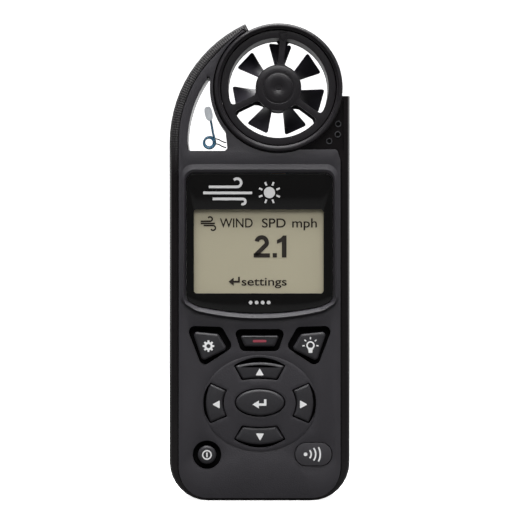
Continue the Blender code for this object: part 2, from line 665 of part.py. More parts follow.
def impeller_module():
    guard("impeller_shroud",
          [(DUCT_R, -12.2), (DUCT_R + 0.4, -12.6), (SHROUD_R - 0.3, -12.6), (SHROUD_R, -12.2),
           (SHROUD_R, 4.0), (DUCT_R, 4.0)],
          [(0, -11.8), (CAP_R + 0.4, -11.8), (CAP_R + 0.4, -12.4), (GUARD_HUB_R - 0.3, -12.4),
           (GUARD_HUB_R, -12.1), (GUARD_HUB_R, -9.4), (1.6, -9.4), (1.6, -11.0), (0, -11.0)],
          -12.3, -10.4)
    guard("impeller_rear_guard",
          [(DUCT_R, 4.3), (SHROUD_R, 4.3), (SHROUD_R, 7.3), (SHROUD_R - 0.3, 7.6), (DUCT_R, 7.6)],
          [(0, 5.4), (1.6, 5.4), (1.6, 3.4), (GUARD_HUB_R, 3.4), (GUARD_HUB_R, 6.9),
           (GUARD_HUB_R - 0.3, 7.2), (0, 7.2)], 5.0, 7.0)
    centre = (RING_X, 0, RING_Z)
    cap = turned("hub_cap", [(0, -12.4), (0.6, -12.4), (1.0, -12.7), (CAP_R - 0.2, -12.7),
                             (CAP_R, -12.5), (CAP_R, -12.1), (0, -12.1)], centre, sides=28,
                 material=IMPELLER_BLACK)
    smooth(cap)
    for name, front in (("front_jewel", -10.7), ("rear_jewel", 3.9)):
        ring = [(0.8, front), (1.3, front), (1.3, front + 1.2), (0.8, front + 1.2)]
        smooth(turned(name, ring, centre, sides=16, material=JEWEL_RED, closed=True))
    rod("impeller_axle", 0.5, -10.5, 4.9, centre, sides=12, material=STEEL)
    magnet = [(0.8, 1.1), (3.0, 1.1), (3.0, 2.7), (0.8, 2.7)]
    smooth(turned("impeller_magnet", magnet, centre, sides=20, material=STEEL, closed=True))
    impeller()
    for name in ("impeller", "impeller_axle", "impeller_magnet"):
        hang_on(bpy.data.objects[name], RING_X, 0, RING_Z)


def impeller():
    """Seven twisted blades on a hollow-backed hub."""
    centre = (RING_X, 0, RING_Z)
    front, back = IMPELLER_FRONT_Y, IMPELLER_BACK_Y
    hub_profile = [(0.8, front), (HUB_R - 0.6, front), (HUB_R, front + 0.6), (HUB_R, back),
                   (HUB_R - 1.0, back), (HUB_R - 1.0, front + 2.4), (2.4, front + 2.4), (2.4, back),
                   (0.8, back)]
    hub = turned("impeller", hub_profile, centre, sides=35, closed=True, material=IMPELLER_BLACK)
    for i in range(BLADES):
        join(hub, blade(f"blade_{i}", BLADE_START + 360.0 * i / BLADES))
    smooth(baked(hub), 30)


def blade(name, angle):
    """A plate that widens towards its tip and twists as it goes out."""
    bm = bmesh.new()
    bmesh.ops.create_grid(bm, x_segments=4, y_segments=2, size=0.5)
    middle_y = (IMPELLER_FRONT_Y + IMPELLER_BACK_Y) / 2
    root_r = HUB_R - 0.6
    for vert in bm.verts:
        out = vert.co.x + 0.5
        radius = root_r + (BLADE_TIP_R - root_r) * out
        sweep = vert.co.y * (1.9 + 4.5 * out)
        depth = vert.co.y * (7.4 - 1.6 * out)
        vert.co = Vector((radius, depth, sweep)) * MM
    bmesh.ops.rotate(bm, verts=bm.verts, matrix=Matrix.Rotation(-math.radians(angle), 3, "Y"))
    bmesh.ops.translate(bm, verts=bm.verts, vec=Vector((RING_X, middle_y, RING_Z)) * MM)
    mesh = bpy.data.meshes.new(name)
    bm.to_mesh(mesh)
    bm.free()
    piece = add(name, mesh)
    thick = piece.modifiers.new("thick", "SOLIDIFY")
    thick.thickness = 0.9 * MM
    thick.offset = 0.0
    return baked(piece)


# ---------------------------------------------------------------- temperature bead

def temperature_probe():
    """Glass bead on a stiff coiled lead that springs from the foot of the window."""
    depth = -2.5
    bead_profile = [(0, 105.3), (0.55, 105.1), (0.95, 104.5), (1.05, 103.7), (0.9, 102.9),
                    (0.55, 102.1), (0.3, 101.5), (0, 101.35)]
    bead = turned("thermistor_bead", bead_profile, (0, 0, 0), axis="z", sides=16, material=BEAD_GREY)
    lean = Matrix.Rotation(math.radians(-12), 4, "Y")
    centre = Vector((-13.6, depth, 103.3)) * MM
    bead.data.transform(Matrix.Translation(centre) @ lean @ Matrix.Translation((0, 0, -103.3 * MM)))
    smooth(bead)
    turns, per_turn = 2.25, 14
    coil = []
    for i in range(int(turns * per_turn) + 1):
        angle = math.radians(20.0 + 360.0 * i / per_turn)
        radius = 1.45 - 0.12 * math.cos(angle * 0.5)
        y = depth - 1.0 + 2.0 * i / (turns * per_turn)
        coil.append((-13.5 + radius * math.cos(angle), y, 95.6 + radius * math.sin(angle)))
    stem = [(-13.1, depth, 101.0), (-12.85, depth, 100.0), (-12.5, depth - 0.3, 98.0),
            (-12.15, depth - 0.8, 96.8)]
    tube("thermistor_lead", stem + coil, 0.24, WIRE_BLUE)
    for name, low, y in (("probe_tail_1", 96.2, depth + 0.6), ("probe_tail_2", 94.9, depth + 1.5)):
        run = [(-11.4, y, low + 0.3), (-10.6, y, low - 0.2), (-9.8, y, low - 0.5), (-8.9, y, low - 0.6)]
        tube(name, run, 0.14, SEAL_RUBBER)


# ---------------------------------------------------------------- power

def battery_parts():
    profile = [(0, BATTERY_TOP), (2.6, BATTERY_TOP), (2.6, BATTERY_TOP - 1.0), (6.6, BATTERY_TOP - 1.2),
               (BATTERY_R, BATTERY_TOP - 1.8), (BATTERY_R, BATTERY_FOOT + 0.3), (6.9, BATTERY_FOOT),
               (0, BATTERY_FOOT)]
    centre = (0, BATTERY_Y, 0)
    smooth(turned("battery", profile, centre, axis="z", sides=28, material=BATTERY_SKIN))
    block("battery_plus_contact", (-4.5, 1.0, 59.9), (4.5, 7.8, 60.4), STEEL)
    steps = 30
    spring = []
    for i in range(steps + 1):
        angle = 2 * math.pi * 2.5 * i / steps
        radius = 4.2 - 1.2 * i / steps
        spring.append((radius * math.cos(angle), BATTERY_Y + radius * math.sin(angle),
                       7.25 + 1.1 * i / steps))
    tube("battery_spring", spring, 0.2, STEEL)


def battery_door():
    """Door plate with a hinge barrel along its foot and a seat for the coin screw."""
    outline = rounded([(-DOOR_HALF, 4.7), (DOOR_HALF, 4.7), (DOOR_HALF, DOOR_TOP), (-DOOR_HALF, DOOR_TOP)],
                      0.8, 2)
    lifted = [(x, max(z, HINGE_Z)) for x, z in outline]
    door = flat_solid("battery_door", [lifted], DOOR_INNER_Y, BACK_Y, CASE_GLOSS)
    barrel = rod("door_barrel", HINGE_R, -DOOR_HALF + 0.1, DOOR_HALF - 0.1, (0, HINGE_Y, HINGE_Z),
                 axis="x", sides=20)
    pin_bore = rod("door_bore", 0.75, -20, 20, (0, HINGE_Y, HINGE_Z), axis="x", sides=12)
    shank_hole = rod("latch_shank_hole", 1.8, 0, 20, (0, 0, LATCH_Z), sides=20)
    head_seat = rod("latch_head_seat", 3.8, 13.0, 20, (0, 0, LATCH_Z), sides=24)
    join(door, barrel)
    cut(door, pin_bore, shank_hole, head_seat)
    door = baked(door)
    smooth(door)
    rod("door_pin", 0.5, -11.2, 11.2, (0, HINGE_Y, HINGE_Z), axis="x", sides=12, material=STEEL)
    seal_rim = rounded([(-9.3, 7.6), (9.3, 7.6), (9.3, 64.0), (-9.3, 64.0)], 1.0, 2)
    rim_rear = grown(seal_rim, -1.2)
    flat_solid("door_gasket", [seal_rim, rim_rear], 11.6, 12.15, SEAL_RUBBER)
    latch_profile = [(0, 12.3), (1.5, 12.3), (1.5, 13.3), (3.5, 13.3), (3.5, 13.8), (3.3, 14.0), (0, 14.0)]
    latch = turned("door_latch", latch_profile, (0, 0, LATCH_Z), sides=24, material=STEEL)
    coin_slot = block("coin_slot", (-2.8, 13.5, LATCH_Z - 0.6), (2.8, 16, LATCH_Z + 0.6))
    cut(latch, coin_slot)
    latch = baked(latch)
    smooth(latch)
    shank_profile = [(0, 8.2), (1.1, 8.2), (1.5, 8.8), (1.5, 12.0), (0, 12.0)]
    shank = turned("latch_shank", shank_profile, (0, 0, LATCH_Z), sides=24, material=STEEL)
    smooth(shank)
    hang_on(door, 0, HINGE_Y, HINGE_Z)
    hang_on(latch, 0, 13.3, LATCH_Z)
    hang_on(shank, 0, 13.3, LATCH_Z)


def tripod_insert():
    """Blind brass bush for a 1/4 inch screw."""
    profile = [(0, 6.2), (4.6, 6.2), (4.6, 13.6), (4.4, 13.9), (3.5, 13.9), (3.2, 13.6), (3.2, 7.4),
               (0, 7.4)]
    smooth(turned("tripod_insert", profile, (0, 0, TRIPOD_Z), sides=24, material=BRASS))


front_housing()
rear_housing()
seam_gasket()
for number, (screw_x, screw_z) in enumerate(SCREWS, start=1):
    housing_screw(number, screw_x, screw_z)
fascia()
for key_name, (cap_loop, hole_loop, key_front) in KEYS.items():
    key(key_name, cap_loop, hole_loop, key_front)
link_badge()
display()
electronics()
impeller_module()
temperature_probe()
battery_parts()
battery_door()
tripod_insert()
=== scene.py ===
import math

import bmesh
import bpy
from mathutils import Matrix, Vector


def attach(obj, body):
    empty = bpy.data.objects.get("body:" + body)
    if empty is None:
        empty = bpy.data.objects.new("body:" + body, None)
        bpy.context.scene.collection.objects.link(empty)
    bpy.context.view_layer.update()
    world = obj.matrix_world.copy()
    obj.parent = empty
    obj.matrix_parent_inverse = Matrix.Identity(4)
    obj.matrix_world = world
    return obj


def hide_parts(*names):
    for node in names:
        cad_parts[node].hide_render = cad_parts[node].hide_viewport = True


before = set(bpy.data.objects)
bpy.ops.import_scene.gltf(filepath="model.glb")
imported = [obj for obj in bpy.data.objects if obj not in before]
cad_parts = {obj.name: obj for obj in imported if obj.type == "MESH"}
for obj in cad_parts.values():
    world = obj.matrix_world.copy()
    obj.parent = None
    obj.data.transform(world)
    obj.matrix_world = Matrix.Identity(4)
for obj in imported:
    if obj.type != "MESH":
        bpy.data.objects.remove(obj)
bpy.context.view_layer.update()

# ------------------------------------------------------------------ camera
# A long lens, level with the middle of the meter and straight in front of it, so far away that
# the sides of the case hardly show. The meter's own sizes are in millimetres, scaled by MM.
MM = 0.001
scene = bpy.context.scene
camera = bpy.data.objects.new("camera", bpy.data.cameras.new("camera"))
camera.data.lens = 246.8
camera.data.clip_start = 0.05
camera.data.clip_end = 20.0
camera.location = Vector((0.36, -964.0, 63.8)) * MM
camera.rotation_euler = (math.radians(90), 0, 0)
scene.collection.objects.link(camera)
scene.camera = camera
scene.view_settings.view_transform = "Standard"

# ------------------------------------------------------------------ studio
# One sheet of white card is the floor and curves up behind the meter. Two soft boxes hang over
# the front, weak ones stand at both sides, one lights the rear, and the room itself is dim. The
# near part of the card looks white to the camera but throws little light on the black case.


def soft_box(name, place, width, height, power):
    """An area light that faces the middle of the meter."""
    light = bpy.data.lights.new(name, "AREA")
    light.shape = "RECTANGLE"
    light.size, light.size_y, light.energy = width, height, power
    box = bpy.data.objects.new(name, light)
    box.location = place
    aim = Vector((0.0, 0.0, 0.064)) - Vector(place)
    box.rotation_euler = aim.to_track_quat("-Z", "Y").to_euler()
    scene.collection.objects.link(box)


def mapped(tree, source, from_low, from_high, to_low=0.0, to_high=1.0):
    """A value moved from one range to another and held within it."""
    node = tree.nodes.new("ShaderNodeMapRange")
    node.inputs["From Min"].default_value = from_low
    node.inputs["From Max"].default_value = from_high
    node.inputs["To Min"].default_value = to_low
    node.inputs["To Max"].default_value = to_high
    tree.links.new(source, node.inputs["Value"])
    return node.outputs["Result"]


def object_axis(tree, axis):
    """The object coordinate along one axis."""
    place = tree.nodes.new("ShaderNodeTexCoord")
    parts = tree.nodes.new("ShaderNodeSeparateXYZ")
    tree.links.new(place.outputs["Object"], parts.inputs["Vector"])
    return parts.outputs[axis]


soft_box("top_box", (0.0, -0.14, 0.78), 0.7, 0.26, 9.5)
soft_box("front_box", (0.0, -0.78, 0.80), 0.9, 0.6, 7.2)
soft_box("left_box", (-0.95, -0.35, 0.35), 0.3, 0.7, 0.8)
soft_box("right_box", (0.95, -0.35, 0.35), 0.3, 0.7, 0.8)
soft_box("back_box", (0.0, 0.8, 0.8), 0.9, 0.5, 4.0)

room = bpy.data.worlds.new("room")
room.use_nodes = True
scene.world = room
dim_light = room.node_tree.nodes["Background"]
dim_light.inputs["Color"].default_value = (1.0, 1.0, 1.0, 1.0)
dim_light.inputs["Strength"].default_value = 0.07

card_bm = bmesh.new()
bend_start, bend_radius = 1.2, 0.8
sweep = [(-2.0, 0.0), (bend_start, 0.0)]
for step in range(1, 13):
    bend = step * math.pi / 24
    sweep.append((bend_start + bend_radius * math.sin(bend), bend_radius - bend_radius * math.cos(bend)))
sweep.append((bend_start + bend_radius, 3.0))
rows = [[card_bm.verts.new((x, y, z)) for x in (-3.0, 3.0)] for y, z in sweep]
for low, high in zip(rows, rows[1:]):
    card_bm.faces.new((low[0], low[1], high[1], high[0]))
card_mesh = bpy.data.meshes.new("card")
card_bm.to_mesh(card_mesh)
card_bm.free()
card_mesh.shade_smooth()
card = bpy.data.objects.new("card", card_mesh)
scene.collection.objects.link(card)
card_paint = bpy.data.materials.new("white_card")
card_paint.use_nodes = True
card_tree = card_paint.node_tree
card_shader = card_tree.nodes["Principled BSDF"]
card_shader.inputs["Roughness"].default_value = 0.9
card_shader.inputs["Specular IOR Level"].default_value = 0.1
card_shader.inputs["Emission Color"].default_value = (1.0, 1.0, 1.0, 1.0)
camera_ray = card_tree.nodes.new("ShaderNodeLightPath").outputs["Is Camera Ray"]
card_lit = card_tree.nodes.new("ShaderNodeMath")
card_lit.operation = "MAXIMUM"
card_tree.links.new(camera_ray, card_lit.inputs[0])
card_tree.links.new(mapped(card_tree, object_axis(card_tree, "Y"), 0.9, 1.5), card_lit.inputs[1])
card_tree.links.new(mapped(card_tree, card_lit.outputs["Value"], 0.0, 1.0, 0.04, 0.90),
                    card_shader.inputs["Emission Strength"])
card_tree.links.new(mapped(card_tree, camera_ray, 0.0, 1.0, 0.10, 0.90), card_shader.inputs["Base Color"])
card_mesh.materials.append(card_paint)

# ------------------------------------------------------------------ case halves
# Two black mouldings in glossy plastic with a rubber gasket between them. Their rails frame the
# fascia, and the rail beside the head is cut with fine grip ridges and left rough.


def shader_group(name, inputs, outputs):
    """An empty group of shader nodes with value inputs, and its two end nodes."""
    group = bpy.data.node_groups.new(name, "ShaderNodeTree")
    for label, value in inputs:
        socket = group.interface.new_socket(label, in_out="INPUT", socket_type="NodeSocketFloat")
        socket.default_value = value
    for label, kind in outputs:
        group.interface.new_socket(label, in_out="OUTPUT", socket_type=kind)
    return group, group.nodes.new("NodeGroupInput"), group.nodes.new("NodeGroupOutput")


def noise_of(group, given, detail):
    """A noise texture on object coordinates whose scale comes from the group's Size."""
    place = group.nodes.new("ShaderNodeTexCoord")
    noise = group.nodes.new("ShaderNodeTexNoise")
    noise.inputs["Detail"].default_value = detail
    group.links.new(place.outputs["Object"], noise.inputs["Vector"])
    group.links.new(given.outputs["Size"], noise.inputs["Scale"])
    return noise


uneven_tone, tone_in, tone_out = shader_group("uneven_tone", [("Size", 90.0)],
                                              [("Tone", "NodeSocketFloat")])
cloud = noise_of(uneven_tone, tone_in, 5.0)
uneven_tone.links.new(cloud.outputs["Fac"], tone_out.inputs["Tone"])

grain_outputs = [("Pits", "NodeSocketFloat"), ("Normal", "NodeSocketVector")]
mould_grain, grain_in, grain_out = shader_group("mould_grain", [("Size", 3000.0), ("Depth", 0.2)],
                                                grain_outputs)
speck = noise_of(mould_grain, grain_in, 3.0)
grain_bump = mould_grain.nodes.new("ShaderNodeBump")
grain_bump.inputs["Distance"].default_value = 0.00012
mould_grain.links.new(speck.outputs["Fac"], grain_bump.inputs["Height"])
mould_grain.links.new(grain_in.outputs["Depth"], grain_bump.inputs["Strength"])
mould_grain.links.new(speck.outputs["Fac"], grain_out.inputs["Pits"])
mould_grain.links.new(grain_bump.outputs["Normal"], grain_out.inputs["Normal"])


def surface(name, colour, rough, metal=0.0, spread=0.14, tone=90.0, grain=3000.0, depth=0.2):
    """A material whose colour and roughness wander a little and whose normal has a fine grain."""
    material = bpy.data.materials.new(name)
    material.use_nodes = True
    tree = material.node_tree
    nodes, links = tree.nodes, tree.links
    shader = nodes["Principled BSDF"]
    shader.inputs["Metallic"].default_value = metal
    wander = nodes.new("ShaderNodeGroup")
    wander.node_tree = uneven_tone
    wander.inputs["Size"].default_value = tone
    texture = nodes.new("ShaderNodeGroup")
    texture.node_tree = mould_grain
    texture.inputs["Size"].default_value = grain
    texture.inputs["Depth"].default_value = depth
    blend = nodes.new("ShaderNodeMath")
    blend.operation = "MULTIPLY_ADD"
    blend.inputs[1].default_value = 0.5
    half = nodes.new("ShaderNodeMath")
    half.operation = "MULTIPLY"
    half.inputs[1].default_value = 0.5
    links.new(wander.outputs["Tone"], blend.inputs[0])
    links.new(texture.outputs["Pits"], half.inputs[0])
    links.new(half.outputs["Value"], blend.inputs[2])
    mix = nodes.new("ShaderNodeMix")
    mix.data_type = "RGBA"
    mix.inputs[6].default_value = (*(c * (1 - 2 * spread) for c in colour), 1.0)
    mix.inputs[7].default_value = (*(c * (1 + 2 * spread) for c in colour), 1.0)
    links.new(blend.outputs["Value"], mix.inputs[0])
    links.new(mix.outputs[2], shader.inputs["Base Color"])
    links.new(mapped(tree, blend.outputs["Value"], 0.0, 1.0, rough * 0.8, min(1.0, rough * 1.2)),
              shader.inputs["Roughness"])
    links.new(texture.outputs["Normal"], shader.inputs["Normal"])
    return material


def tint_where(material, mask, colour):
    """Give a material a second colour where the mask is high."""
    tree = material.node_tree
    base = tree.nodes["Principled BSDF"].inputs["Base Color"]
    mix = tree.nodes.new("ShaderNodeMix")
    mix.data_type = "RGBA"
    mix.inputs[7].default_value = (*colour, 1.0)
    tree.links.new(mask, mix.inputs[0])
    tree.links.new(base.links[0].from_socket, mix.inputs[6])
    tree.links.new(mix.outputs[2], base)


def dress(material, *names):
    """Give the CAD nodes that stay in view their material."""
    for name in names:
        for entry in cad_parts[name].material_slots:
            entry.material = material


case_gloss = surface("case_gloss", (0.0065, 0.0050, 0.0056), 0.22, spread=0.2, tone=60.0, depth=0.05)
rail_tree = case_gloss.node_tree
rail_shader = rail_tree.nodes["Principled BSDF"]


def rail_math(operation, first, second=0.0):
    """One maths node fed by sockets or plain values."""
    node = rail_tree.nodes.new("ShaderNodeMath")
    node.operation = operation
    for socket, value in zip(node.inputs, (first, second)):
        if isinstance(value, (int, float)):
            socket.default_value = value
        else:
            rail_tree.links.new(value, socket)
    return node.outputs["Value"]


head_x, head_z = 10.9, 95.3
grip_inner = 32.0
ridges_per_radian = 330.0
rail_height = object_axis(rail_tree, "Z")
rail_x = rail_math("SUBTRACT", object_axis(rail_tree, "X"), head_x * MM)
rail_z = rail_math("SUBTRACT", rail_height, head_z * MM)
rail_reach = rail_math("SQRT", rail_math("ADD", rail_math("POWER", rail_z, 2),
                                         rail_math("POWER", rail_x, 2)))
grip_mask = rail_math("MULTIPLY", mapped(rail_tree, rail_height, 0.086, 0.098),
                      rail_math("GREATER_THAN", rail_reach, grip_inner * MM))
ridges = rail_math("SINE", rail_math("MULTIPLY", rail_math("ARCTAN2", rail_z, rail_x), ridges_per_radian))
ridge_bump = rail_tree.nodes.new("ShaderNodeBump")
ridge_bump.inputs["Distance"].default_value = 0.00003
rail_tree.links.new(rail_math("MULTIPLY", ridges, grip_mask), ridge_bump.inputs["Height"])
rail_tree.links.new(rail_shader.inputs["Normal"].links[0].from_socket, ridge_bump.inputs["Normal"])
rail_tree.links.new(ridge_bump.outputs["Normal"], rail_shader.inputs["Normal"])
rail_tree.links.new(mapped(rail_tree, grip_mask, 0.0, 1.0, 0.22, 0.55), rail_shader.inputs["Roughness"])
tint_where(case_gloss, grip_mask, (0.0085, 0.0071, 0.0080))

gasket_rubber = surface("gasket_rubber", (0.010, 0.010, 0.010), 0.8)
dress(case_gloss, "front_housing", "rear_housing", "battery_door")
dress(gasket_rubber, "housing_gasket", "door_gasket")

# ------------------------------------------------------------------ collar
# The front half carries a round collar that holds the impeller module. It is moulded in one with
# the case in satin black: a rounded crest with a narrow dark groove inside it.
ring_x, ring_z = 5.0, 109.9


def settle(bm, name, material, body, slot, *nodes, sharp=35.0):
    """Turn a bmesh into a piece that rides on a body and may stand for CAD nodes."""
    bmesh.ops.recalc_face_normals(bm, faces=bm.faces)
    mesh = bpy.data.meshes.new(name)
    bm.to_mesh(mesh)
    bm.free()
    mesh.shade_smooth()
    mesh.set_sharp_from_angle(angle=math.radians(sharp))
    mesh.materials.append(material)
    piece = bpy.data.objects.new(name, mesh)
    scene.collection.objects.link(piece)
    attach(piece, body)
    if nodes:
        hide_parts(*nodes)


def turned(profile, centre=(0, 0, 0), steps=96, closed=True):
    """A solid spun from (radius, depth) points round an axis along Y through centre."""
    bm = bmesh.new()
    verts = [bm.verts.new((radius * MM, depth * MM, 0)) for radius, depth in profile]
    edges = [bm.edges.new((verts[i], verts[i + 1])) for i in range(len(verts) - 1)]
    if closed:
        edges.append(bm.edges.new((verts[-1], verts[0])))
    bmesh.ops.spin(bm, geom=verts + edges, cent=(0, 0, 0), axis=(0, 1, 0), angle=2 * math.pi,
                   steps=steps, use_merge=True)
    bmesh.ops.remove_doubles(bm, verts=bm.verts[:], dist=0.000001)
    bmesh.ops.recalc_face_normals(bm, faces=bm.faces)
    bmesh.ops.translate(bm, verts=bm.verts, vec=Vector(centre) * MM)
    return bm


module_black = surface("module_black", (0.0105, 0.0090, 0.0112), 0.36, spread=0.16, tone=160.0, depth=0.25)
collar_profile = [(15.52, -9.0), (15.52, -12.6), (15.62, -12.95), (15.9, -13.1), (16.0, -13.55),
                  (16.15, -13.75), (16.45, -13.82), (16.75, -13.7), (17.0, -13.4), (17.1, -12.9),
                  (17.1, -9.0)]
settle(turned(collar_profile, (ring_x, 0, ring_z)), "collar_rim", module_black, "case", "case_gloss")

# ------------------------------------------------------------------ fascia
# One matte charcoal moulding: it wraps the lower left of the duct up to a pointed tip, frames the
# sensor window and holds the rounded rim round the display.
face_y = -13.0


def arc(x, z, radius, first, last, steps):
    """Points on a circle from one angle to another, both ends included."""
    angles = [math.radians(first + (last - first) * i / steps) for i in range(steps + 1)]
    return [(x + radius * math.cos(a), z + radius * math.sin(a)) for a in angles]


def oval(x, z, half_x, half_z, steps):
    """Points all round an ellipse."""
    turns = [2 * math.pi * i / steps for i in range(steps)]
    return [(x + half_x * math.cos(t), z + half_z * math.sin(t)) for t in turns]


def bow(start, end, rise, steps=16):
    """A shallow arch between two points, bulging to the left of the way it travels."""
    (x0, z0), (x1, z1) = start, end
    length = math.hypot(x1 - x0, z1 - z0)
    side_x, side_z = (z0 - z1) / length, (x1 - x0) / length
    shares = [i / steps for i in range(steps + 1)]
    lifts = [rise * 4 * t * (1 - t) for t in shares]
    return [(x0 + (x1 - x0) * t + side_x * lift, z0 + (z1 - z0) * t + side_z * lift)
            for t, lift in zip(shares, lifts)]


def rounded(corners, radius, steps=8):
    """A closed outline with every corner rounded to the same radius."""
    outline = []
    for i, corner in enumerate(corners):
        here = Vector(corner)
        before = (Vector(corners[i - 1]) - here).normalized()
        after = (Vector(corners[(i + 1) % len(corners)]) - here).normalized()
        half = before.angle(after) / 2
        centre = here + (before + after).normalized() * (radius / math.sin(half))
        first = here + before * (radius / math.tan(half)) - centre
        last = here + after * (radius / math.tan(half)) - centre
        for k in range(steps + 1):
            outline.append(tuple(centre + first.lerp(last, k / steps).normalized() * radius))
    return outline


def softened(outline, times=2, wanted=96):
    """The outline respaced evenly and its corners worn round by averaging."""
    points = [Vector(p) for p in outline]
    count = len(points)
    lengths = [(points[(i + 1) % count] - points[i]).length for i in range(count)]
    spacing, spaced, i, walked = sum(lengths) / wanted, [], 0, 0.0
    for k in range(wanted):
        while walked + lengths[i] < spacing * k:
            walked += lengths[i]
            i += 1
        share = (spacing * k - walked) / max(lengths[i], 1e-9)
        spaced.append(points[i].lerp(points[(i + 1) % count], share))
    for _ in range(times):
        spaced = [(spaced[k - 1] + spaced[k] * 2 + spaced[(k + 1) % wanted]) / 4 for k in range(wanted)]
    return [tuple(p) for p in spaced]


def grown(outline, amount):
    """The outline moved outward by an amount, whichever way round it is listed."""
    count = len(outline)
    area = sum(x0 * z1 - x1 * z0 for (x0, z0), (x1, z1) in zip(outline, outline[1:] + outline[:1]))
    sign = 1 if area > 0 else -1
    moved = []
    for i in range(count):
        here = Vector(outline[i])
        before = (here - Vector(outline[i - 1])).normalized()
        after = (Vector(outline[(i + 1) % count]) - here).normalized()
        along = (before + after).normalized()
        stretch = max(0.5, along.dot(after))
        moved.append(tuple(here + Vector((along.y, -along.x)) * sign * amount / stretch))
    return moved


def mirrored(outline):
    """The same outline on the other side of the meter's middle line."""
    return [(-x, z) for x, z in reversed(outline)]


def plate(loops, front, back):
    """A flat plate with holes between two depths."""
    bm = bmesh.new()
    for loop in loops:
        verts = [bm.verts.new((x * MM, front * MM, z * MM)) for x, z in loop]
        for i in range(len(verts)):
            bm.edges.new((verts[i - 1], verts[i]))
    bmesh.ops.triangle_fill(bm, use_beauty=True, use_dissolve=False, edges=bm.edges[:])
    rear = bmesh.ops.extrude_face_region(bm, geom=bm.faces[:] + bm.edges[:])
    moved = [item for item in rear["geom"] if isinstance(item, bmesh.types.BMVert)]
    bmesh.ops.translate(bm, verts=moved, vec=(0, (back - front) * MM, 0))
    bmesh.ops.recalc_face_normals(bm, faces=bm.faces)
    return bm


def ease(bm, width, level, segments=3):
    """Round the sharp edges that lie at one depth."""
    edges = [edge for edge in bm.edges
             if len(edge.link_faces) == 2 and edge.calc_face_angle(0.0) > 0.7
             and all(abs(vert.co.y / MM - level) < 0.01 for vert in edge.verts)]
    bmesh.ops.bevel(bm, geom=edges, offset=width * MM, segments=segments, affect="EDGES",
                    profile=0.5, material=-1, clamp_overlap=True)
    return bm


def skin(bm, rings):
    """Faces between rings of vertices that have the same count."""
    for first, second in zip(rings, rings[1:]):
        for i in range(len(first)):
            bm.faces.new((first[i - 1], first[i], second[i], second[i - 1]))


def lofted(rows):
    """Skin over outlines of equal length given with their depths, and the edge loops of it."""
    bm = bmesh.new()
    rings = [[bm.verts.new((x * MM, depth * MM, z * MM)) for x, z in outline] for outline, depth in rows]
    loops = [[bm.edges.new((ring[i - 1], ring[i])) for i in range(len(ring))] for ring in rings]
    skin(bm, rings)
    return bm, loops


def fascia_outline():
    """Round the two foot corners, up the right side, round the collar and over the pointed tip."""
    collar_edge, top_z = 17.45, 93.4
    start = math.degrees(math.asin((top_z - ring_z) / collar_edge))
    corner = [(x, 9.0 + (z - 9.0) * 8.2 / 7.5) for x, z in arc(14.0, 9.0, 7.5, -90, 0, 20)]
    points = list(corner)
    points += arc(20.3, 90.4, 1.2, 0, 30, 3) + arc(20.0, 92.6, 0.85, 0, 90, 6)
    points += arc(ring_x, ring_z, collar_edge, start, -239.0, 60)
    for i in range(41):
        angle = 117.0 + 63.0 * i / 40
        taper = 1.2 * max(0.0, (140.0 - angle) / 23.0) ** 2
        points += arc(head_x, head_z, 32.4 + taper, angle, angle, 1)[:1]
    return points + mirrored(corner)


def window_outline():
    """A tall three-cornered opening between the collar and the arc of the head."""
    right = arc(ring_x, ring_z, 18.25, -140.5, -187.0, 24)
    tip = arc(-13.75, 112.45, 0.45, 10, 140, 6)
    left = arc(head_x, head_z, 30.1, 145.5, 178.2, 24)
    return right + tip + left + arc(-18.4, 93.9, 0.8, 185, 270, 6) + arc(-9.4, 93.9, 0.8, 270, 355, 6)


def lens_outline():
    """The lens: a rounded rectangle whose foot bows down."""
    foot = bow((-17.2, 51.9), (17.2, 51.9), -2.0, 36)[1:-1]
    return (foot + arc(17.1, 54.8, 2.45, -60, 0, 8) + arc(17.25, 84.8, 2.3, 0, 90, 8)
            + arc(-17.25, 84.8, 2.3, 90, 180, 8) + arc(-17.1, 54.8, 2.45, 180, 240, 8))


def lip_outline():
    """The outer edge of the rim, point for point beside the lens outline."""
    foot = bow((-18.2, 50.7), (18.2, 50.7), -2.4, 36)[1:-1]
    return (foot + arc(18.0, 54.6, 3.2, -55, 0, 8) + arc(17.6, 86.4, 3.6, 0, 90, 8)
            + arc(-17.6, 86.4, 3.6, 90, 180, 8) + arc(-18.0, 54.6, 3.2, 180, 235, 8))


settings_cap = rounded([(-17.9, 45.1), (-11.0, 44.4), (-8.6, 40.4), (-15.2, 37.2)], 0.9)
settings_hole = rounded([(-19.6, 46.6), (-10.0, 46.3), (-7.0, 40.9), (-15.3, 35.5)], 1.6)
capture_cap = rounded([(-5.25, 44.0), (-3.97, 41.1), (3.97, 41.1), (5.25, 44.0)], 0.5)
capture_hole = rounded([(-6.95, 45.7), (-4.95, 39.8), (4.95, 39.8), (6.95, 45.7)], 1.4)
power_x, power_z = -14.0, 12.3
power_cap = oval(power_x, power_z, 2.43, 2.43, 48)
power_hole = oval(power_x, power_z, 3.8, 3.8, 56)
badge_edge = rounded([(9.4, 9.4), (19.2, 9.4), (19.2, 15.5), (9.4, 15.5)], 3.0, 10)
fascia_matte = surface("fascia_matte", (0.0245, 0.0225, 0.0275), 0.5, spread=0.12, tone=140.0, depth=0.45)
pad_z, pad_half_x, pad_half_z = 26.0, 15.2, 12.8
pad_hole = oval(0, pad_z, pad_half_x - 0.2, pad_half_z - 0.2, 96)
fascia_loops = [fascia_outline(), window_outline(), grown(lip_outline(), -0.5), pad_hole, settings_hole,
                mirrored(settings_hole), capture_hole, power_hole, grown(badge_edge, 0.15)]
fascia_bm = ease(plate(fascia_loops, face_y, -11.3), 0.3, face_y)
settle(fascia_bm, "fascia", fascia_matte, "case", "fascia_matte", "front_fascia", sharp=30)

